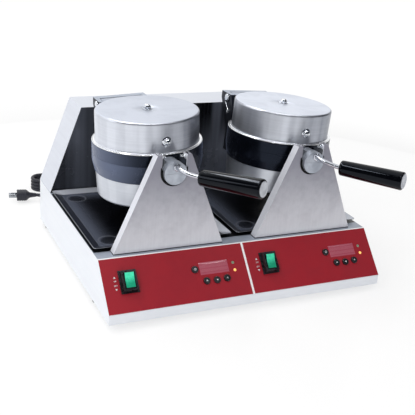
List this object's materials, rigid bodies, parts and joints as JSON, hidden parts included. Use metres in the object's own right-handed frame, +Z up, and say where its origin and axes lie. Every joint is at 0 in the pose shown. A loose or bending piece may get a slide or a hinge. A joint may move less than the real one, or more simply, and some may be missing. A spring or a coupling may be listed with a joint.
{
  "type": "waffle cone maker",
  "caption": "Electric waffle cone baker with paired round irons that turn over in front pillars, hinged lids, drip trays, slanted control panel and rear hood.",
  "frame": {"origin": "middle of the machine's footprint, from its back to the ends of its handles at rest, on the surface that its feet stand on", "axes": "+Z up, -Y the front with the control panel, +X to the right of someone who faces the panel"},
  "size_m": [0.5373, 0.7302, 0.3042],
  "materials": {
    "steel_body": "brushed sheet steel, pale",
    "steel_cover": "brushed",
    "steel_pillar": "satin",
    "tray_sheet": "dark gloss",
    "red_overlay": "printed film",
    "window": "clear tinted window",
    "black_plastic": "gloss",
    "lamp": "clear",
    "board": "solder resist",
    "rocker_green": "translucent",
    "rubber": "matt",
    "bearing": "low-friction plastic",
    "plate_coat": "cast, dark coat",
    "bright": "polished",
    "shaft_steel": "turned",
    "element_steel": "drawn tube",
    "grip_plastic": "gloss, phenolic"
  },
  "bodies": {
    "root": {"base_shell": "steel_body", "bottom_plate": "steel_body", "hood": "steel_body", "hood_back": "steel_body", "feet": "rubber", "control_overlays": "red_overlay", "display_windows": "window", "switch_bezels": "black_plastic", "indicator_lamps": "lamp", "control_boards": "board", "pillar_left": "steel_pillar", "pillar_right": "steel_pillar", "stop_screws": "bright", "bearings": "bearing", "gland": "rubber", "cord": "rubber", "cord_hank": "rubber", "plug": "rubber"},
    "head_left": {"lower_plate_left": "plate_coat", "lower_cover_left": "steel_cover", "lower_trunnion_left": "shaft_steel", "yoke_left": "plate_coat", "shaft_left": "shaft_steel", "lower_element_left": "element_steel", "hinge_hardware_left": "bright"},
    "lid_left": {"upper_plate_left": "plate_coat", "upper_cover_left": "steel_cover", "upper_trunnion_left": "shaft_steel", "hinge_arm_left": "plate_coat", "upper_element_left": "element_steel", "handle_rod_left": "bright", "handle_grip_left": "grip_plastic", "cap_nuts_left": "bright"},
    "tray_left": {"tray_left": "tray_sheet"},
    "rocker_left": {"rocker_left": "rocker_green"},
    "key_left_1": {"key_left_1": "black_plastic"},
    "key_left_2": {"key_left_2": "black_plastic"},
    "key_left_3": {"key_left_3": "black_plastic"},
    "key_left_4": {"key_left_4": "black_plastic"},
    "head_right": {"lower_plate_right": "plate_coat", "lower_cover_right": "steel_cover", "lower_trunnion_right": "shaft_steel", "yoke_right": "plate_coat", "shaft_right": "shaft_steel", "lower_element_right": "element_steel", "hinge_hardware_right": "bright"},
    "lid_right": {"upper_plate_right": "plate_coat", "upper_cover_right": "steel_cover", "upper_trunnion_right": "shaft_steel", "hinge_arm_right": "plate_coat", "upper_element_right": "element_steel", "handle_rod_right": "bright", "handle_grip_right": "grip_plastic", "cap_nuts_right": "bright"},
    "tray_right": {"tray_right": "tray_sheet"},
    "rocker_right": {"rocker_right": "rocker_green"},
    "key_right_1": {"key_right_1": "black_plastic"},
    "key_right_2": {"key_right_2": "black_plastic"},
    "key_right_3": {"key_right_3": "black_plastic"},
    "key_right_4": {"key_right_4": "black_plastic"}
  },
  "joints": [
    {"name": "head_left_turn", "type": "hinge", "parent": "root", "child": "head_left", "pos_m": [-0.1265, 0.01141, 0.225], "axis": [0, 1, 0], "range_deg": [-180, 0]},
    {"name": "lid_left_open", "type": "hinge", "parent": "head_left", "child": "lid_left", "pos_m": [-0.12901, 0.13541, 0.27293], "axis": [-0.9986, 0, -0.0523], "range_deg": [0, 95]},
    {"name": "tray_left_slide", "type": "slide", "parent": "root", "child": "tray_left", "axis": [-1, 0, 0], "range_m": [0, 0.2]},
    {"name": "rocker_left_tip", "type": "hinge", "parent": "root", "child": "rocker_left", "pos_m": [-0.209, -0.15185, 0.068], "axis": [1, 0, 0], "range_deg": [-16, 0]},
    {"name": "key_left_1_press", "type": "slide", "parent": "root", "child": "key_left_1", "axis": [0, 0.7276, -0.686], "range_m": [0, 0.001], "stiffness_N_per_m": 300, "springref_m": -0.001},
    {"name": "key_left_2_press", "type": "slide", "parent": "root", "child": "key_left_2", "axis": [0, 0.7276, -0.686], "range_m": [0, 0.001], "stiffness_N_per_m": 300, "springref_m": -0.001},
    {"name": "key_left_3_press", "type": "slide", "parent": "root", "child": "key_left_3", "axis": [0, 0.7276, -0.686], "range_m": [0, 0.001], "stiffness_N_per_m": 300, "springref_m": -0.001},
    {"name": "key_left_4_press", "type": "slide", "parent": "root", "child": "key_left_4", "axis": [0, 0.7276, -0.686], "range_m": [0, 0.001], "stiffness_N_per_m": 300, "springref_m": -0.001},
    {"name": "head_right_turn", "type": "hinge", "parent": "root", "child": "head_right", "pos_m": [0.1265, 0.01141, 0.225], "axis": [0, 1, 0], "range_deg": [-180, 0]},
    {"name": "lid_right_open", "type": "hinge", "parent": "head_right", "child": "lid_right", "pos_m": [0.12901, 0.13541, 0.27293], "axis": [-0.9986, 0, 0.0523], "range_deg": [0, 95]},
    {"name": "tray_right_slide", "type": "slide", "parent": "root", "child": "tray_right", "axis": [1, 0, 0], "range_m": [0, 0.2]},
    {"name": "rocker_right_tip", "type": "hinge", "parent": "root", "child": "rocker_right", "pos_m": [0.041, -0.15185, 0.068], "axis": [1, 0, 0], "range_deg": [-16, 0]},
    {"name": "key_right_1_press", "type": "slide", "parent": "root", "child": "key_right_1", "axis": [0, 0.7276, -0.686], "range_m": [0, 0.001], "stiffness_N_per_m": 300, "springref_m": -0.001},
    {"name": "key_right_2_press", "type": "slide", "parent": "root", "child": "key_right_2", "axis": [0, 0.7276, -0.686], "range_m": [0, 0.001], "stiffness_N_per_m": 300, "springref_m": -0.001},
    {"name": "key_right_3_press", "type": "slide", "parent": "root", "child": "key_right_3", "axis": [0, 0.7276, -0.686], "range_m": [0, 0.001], "stiffness_N_per_m": 300, "springref_m": -0.001},
    {"name": "key_right_4_press", "type": "slide", "parent": "root", "child": "key_right_4", "axis": [0, 0.7276, -0.686], "range_m": [0, 0.001], "stiffness_N_per_m": 300, "springref_m": -0.001}
  ]
}
